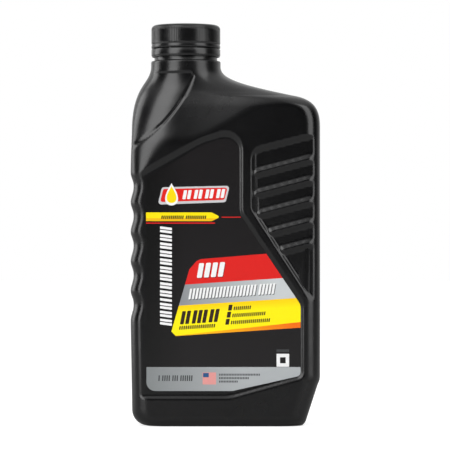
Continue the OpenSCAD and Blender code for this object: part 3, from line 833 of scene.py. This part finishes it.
def strokes(start, turn, groups, width, gap, space, height, lean, r=0.25):
    """A row of leaning strokes in groups, each a number of strokes, along a turned base line."""
    c, s = math.cos(math.radians(turn)), math.sin(math.radians(turn))
    out, run = [], 0.0
    for count in groups:
        for _ in range(count):
            corners = [(run, 0), (run + width, 0), (run + width + lean, height), (run + lean, height)]
            placed = [(start[0] + u * c - v * s, start[1] + u * s + v * c, r) for u, v in corners]
            out.append(rounded(placed, 3))
            run += width + gap
        run += space
    return out


def block(corners, r, steps=5):
    """An outline from corners that all have the same radius."""
    return rounded([(x, z, r) for x, z in corners], steps)


def shifted(shapes, dx, dz):
    return [shape + np.array([dx, dz]) for shape in shapes]


# %% Front label film
def film_sheet(name, outline, side):
    bm = bmesh.new()
    sheet(bm, outline, FLOOR_Y, FILM_Y, side=side)
    bmesh.ops.recalc_face_normals(bm, faces=bm.faces)
    obj = new_object(name, bm, black_film)
    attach(obj, "bottle")
    return obj


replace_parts(film_sheet("front_film", LABEL, -1), "front_label")
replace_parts(film_sheet("back_film", LABEL, 1), "back_label")

# %% Main colour fields
# Three bands lean back on the left and rise a little to the right, where they bleed over the label's edge.
BAND_LEFT = ((-19.6, 95.7), (-31.3, 55.4))
RED_TOP = ((26.5, 100.7), (-20.5, 96.8))
RED_GREY = ((-22.2, 82.6), (34.6, 86.4))
GREY_YELLOW = ((-25.7, 70.4), (41.6, 74.8))
ORANGE_LINE = ((-28.6, 53.0), (43.9, 60.9))
BAND_FOOT = ((-28.6, 52.7), (44.5, 57.6))
FOOT_TIP = ((-32.1, 56.2), (-28.0, 51.9))
STRIP_TOP = ((43.9, 34.7), (-46.0, 34.7))


def reverse(line):
    return line[1], line[0]


RED_CORNERS = (((-13.0, 97.9), (-18.0, 95.6)), ((-16.0, 97.0), (-19.8, 92.6)))
printed("red_field", [(LABEL, (RED_TOP, RED_GREY, BAND_LEFT, *RED_CORNERS))], red_ink, 1)
printed("grey_field", [(LABEL, (reverse(RED_GREY), GREY_YELLOW, BAND_LEFT))], grey_ink, 1)
printed("yellow_field", [(LABEL, (reverse(GREY_YELLOW), ORANGE_LINE, BAND_LEFT, FOOT_TIP))], yellow_ink, 1)
printed("orange_field", [(LABEL, (reverse(ORANGE_LINE), BAND_FOOT, BAND_LEFT, FOOT_TIP))], orange_ink, 1)
printed("strip_field", [(LABEL, (STRIP_TOP,))], strip_ink, 1)

# %% Banner with a pointed end
banner = rounded([(-46, 119.3, 0.2), (-8, 119.3, 2), (-2.8, 121.8, 0.8), (-8, 124.4, 2), (-46, 124.4, 0.2)], 5)
BANNER_SPLIT = ((-2, 121), (-46, 121))
printed("banner_yellow", [(banner, (reverse(BANNER_SPLIT),))], ink("banner_yellow_ink", (247, 222, 8)), 1)
printed("banner_orange", [(banner, (BANNER_SPLIT,))], ink("banner_amber_ink", (236, 182, 20)), 1)
printed("banner_lines", [block([(-46, 117.9), (-6.2, 117.9), (-5.6, 118.5), (-46, 118.5)], 0.2),
                         block([(-2.2, 121.4), (9.0, 121.4), (9.0, 121.9), (-2.2, 121.9)], 0.2)], red_ink, 1)
printed("banner_strokes", strokes((-37.3, 120.6), 0, (12, 11), 0.75, 0.35, 1.0, 2.0, 0.4), dark_ink, 2)


# %% Badge with an oil drop
def drop(x, z, size):
    """A drop with its tip up."""
    t = np.linspace(0, 2 * math.pi, 28, endpoint=False)
    wide = size * np.sin(t) * np.sin(t / 2) ** 1.3
    return np.stack([x - wide, z + size * 1.25 * np.cos(t)], 1)


BADGE = [(-39.2, 128.9), (0.2, 130.3), (2.6, 139.9), (-36.8, 139.0)]
badge_inner = [(-37.9, 130.4), (-0.6, 131.7), (1.3, 138.8), (-36.0, 138.0)]
printed("badge_silver", [block(BADGE, 1.6)], ink("silver_ink", (196, 196, 198)), 1)
printed("badge_red", [block(badge_inner, 1.2)], red_ink, 2)
printed("badge_strokes", strokes((-25.0, 132.0), 2, (2, 2, 2, 2), 1.9, 0.75, 1.2, 5.2, 1.2, 0.4), white_ink, 3)
printed("badge_drop_rim", [drop(-31.2, 134.9, 5.2)], white_ink, 3)
printed("badge_drop", [drop(-31.2, 134.7, 3.9)], ink("drop_ink", (250, 214, 8)), 4)

# %% Rows of strokes on the bands
# The rows rise with the bands. The larger ones have a shadow, which is the same row moved right and down.
SHADOW = (0.4, -0.4)
SMALL_ROWS, SMALL_LEAN, SMALL_DROP = (9, 17, 20), 0.8, 4.1
upright = strokes((-31.0, 58.6), 90, (2, 2, 2, 1) + (2,) * 9, 1.42, 0.55, 0.68, 6.9, 0.9, 0.3)
printed("side_strokes", upright, white_ink, 1)
short = strokes((-16.6, 86.4), 3.0, (4,), 2.9, 1.15, 0, 8.4, 1.9, 0.6)
printed("short_shadow", shifted(short, *SHADOW), ink("red_shadow_ink", (130, 16, 16)), 2)
printed("short_strokes", short, white_ink, 3)
grade = strokes((-21.5, 73.9), 3.7, (20, 5), 1.25, 0.72, 1.1, 6.2, 1.5, 0.3)
printed("grade_shadow", shifted(grade, *SHADOW), shadow_ink, 2)
printed("grade_strokes", grade, white_ink, 3)
large = strokes((-26.4, 59.4), 3.9, (2, 3, 2), 2.2, 0.8, 0.8, 7.6, 2.0, 0.4)
printed("large_strokes", large, dark_ink, 2)
small = strokes((-26.9, 56.3), 3.9, (17,), 0.8, 0.45, 0, 2.1, 0.5, 0.15)
for i, count in enumerate(SMALL_ROWS):
    x, z = 1.5 - SMALL_LEAN * i, 67.4 - SMALL_DROP * i
    small += strokes((x, z), 3.9, (1,), 2.2, 0, 0, 3.4, 0.8, 0.3)
    small += strokes((x + 3.2, z + 0.2), 3.9, (count,), 0.75, 0.4, 0, 2.1, 0.5, 0.15)
printed("small_strokes", small, dark_ink, 2)

# %% Small print near the foot
printed("corner_square", [block([(29.7, 34.9), (37.0, 34.9), (37.0, 42.4), (29.7, 42.4)], 0.3)], white_ink, 1)
printed("corner_square_core", [block([(31.7, 36.9), (35.0, 36.9), (35.0, 40.4), (31.7, 40.4)], 0.2)],
        black_film, 2)
printed("corner_bar", strokes((29.8, 43.4), 0, (8,), 0.6, 0.32, 0, 1.6, 0, 0.1), shadow_ink, 1)
volume = strokes((-38.9, 26.6), 0, (1, 4, 3, 6), 0.75, 0.5, 0.9, 3.3, 0.2, 0.15)
printed("volume_strokes", volume, shadow_ink, 2)
printed("patch_rose", [block([(-13.2, 24.6), (-5.4, 24.6), (-5.4, 31.6), (-13.2, 31.6)], 0.4)], rose_ink, 2)
printed("patch_blue", [block([(-12.9, 28.8), (-9.6, 28.8), (-9.6, 31.3), (-12.9, 31.3)], 0.2)], blue_ink, 3)
FOOT_ROWS, FOOT_DROP = (26, 19, 12), 2.0
foot_print = []
for i, count in enumerate(FOOT_ROWS):
    foot_print += strokes((-3.6, 29.7 - FOOT_DROP * i), 0, (count,), 0.6, 0.32, 0, 1.2, 0, 0.1)
printed("address_strokes", foot_print, shadow_ink, 2)

# %% [markdown]
# Camera and light
#
# Black plastic shows only what it reflects, so the lamps are seen as shapes in the surface. Two tall softboxes
# at the front give the upright highlights on the corners and the cap, a wide one above them lights the leaning
# shoulder, and one behind the left side makes the thin bright rim. The world is dark in front and light above
# and behind.

# %% Camera
EYE_X, EYE_Z, EYE_FAR, VIEW_W = -0.2, 117.1, 1600.0, 265.5
SENSOR_W = 36
camera_data = bpy.data.cameras.new("camera")
camera_data.sensor_width = SENSOR_W
camera_data.lens = SENSOR_W * EYE_FAR / VIEW_W
camera = bpy.data.objects.new("camera", camera_data)
camera.location = (EYE_X * MM, -EYE_FAR * MM, EYE_Z * MM)
camera.rotation_euler = (math.pi / 2, 0, 0)
bpy.context.scene.collection.objects.link(camera)
bpy.context.scene.camera = camera

# %% World and floor
world = bpy.data.worlds.new("studio")
bpy.context.scene.world = world
world.use_nodes = True
nodes, links = world.node_tree.nodes, world.node_tree.links
where = nodes.new("ShaderNodeTexCoord")
split = nodes.new("ShaderNodeSeparateXYZ")
links.new(where.outputs["Generated"], split.inputs["Vector"])
above = spread(nodes, links, split.outputs["Z"], 0.0, 0.9, 0.42, 0.9)
behind = spread(nodes, links, split.outputs["Y"], 0.01, 0.8, 0.1, 0.8)
both = nodes.new("ShaderNodeMath")
both.operation = "MAXIMUM"
links.new(above, both.inputs[0])
links.new(behind, both.inputs[1])
background = nodes["Background"]
links.new(both.outputs[0], background.inputs["Color"])
white = nodes.new("ShaderNodeBackground")
white.inputs["Color"].default_value = (1, 1, 1, 1)
seen = nodes.new("ShaderNodeLightPath")
choose = nodes.new("ShaderNodeMixShader")
links.new(seen.outputs["Is Camera Ray"], choose.inputs["Fac"])
links.new(background.outputs[0], choose.inputs[1])
links.new(white.outputs[0], choose.inputs[2])
links.new(choose.outputs[0], nodes["World Output"].inputs["Surface"])

bm = bmesh.new()
bmesh.ops.create_grid(bm, x_segments=1, y_segments=1, size=4)
floor = new_object("floor", bm)
floor_paint = bpy.data.materials.new("pale_floor")
floor_paint.use_nodes = True
nodes, links = floor_paint.node_tree.nodes, floor_paint.node_tree.links
nodes["Principled BSDF"].inputs["Base Color"].default_value = (0.45, 0.45, 0.45, 1)
nodes["Principled BSDF"].inputs["Roughness"].default_value = 0.9
nodes["Principled BSDF"].inputs["Emission Color"].default_value = (1, 1, 1, 1)
path = nodes.new("ShaderNodeLightPath")
glow = nodes.new("ShaderNodeMath")
glow.operation = "MULTIPLY"
glow.inputs[1].default_value = 0.75
links.new(path.outputs["Is Camera Ray"], glow.inputs[0])
links.new(glow.outputs[0], nodes["Principled BSDF"].inputs["Emission Strength"])
floor.data.materials.append(floor_paint)


# %% Lamps
AIM = (0, 0, 0.15)


def softbox(name, place, size, power):
    """A rectangular lamp at a place in metres, turned towards the middle of the bottle."""
    data = bpy.data.lights.new(name, "AREA")
    data.shape = "RECTANGLE"
    data.size, data.size_y = size
    data.energy = power
    lamp = bpy.data.objects.new(name, data)
    lamp.location = place
    lamp.rotation_euler = (Vector(AIM) - Vector(place)).to_track_quat("-Z", "Y").to_euler()
    bpy.context.scene.collection.objects.link(lamp)


softbox("left_softbox", (-0.85, -0.98, 0.68), (0.85, 1.8), 19.0)
softbox("right_softbox", (1.04, -0.78, 0.68), (0.85, 1.8), 13.5)
softbox("front_top_softbox", (-0.1, -1.15, 0.98), (1.5, 0.6), 0.8)
softbox("left_fill", (-1.4, 0.55, 0.45), (0.7, 1.4), 8.0)

# %% Finish
bpy.context.scene.view_settings.view_transform = "Standard"
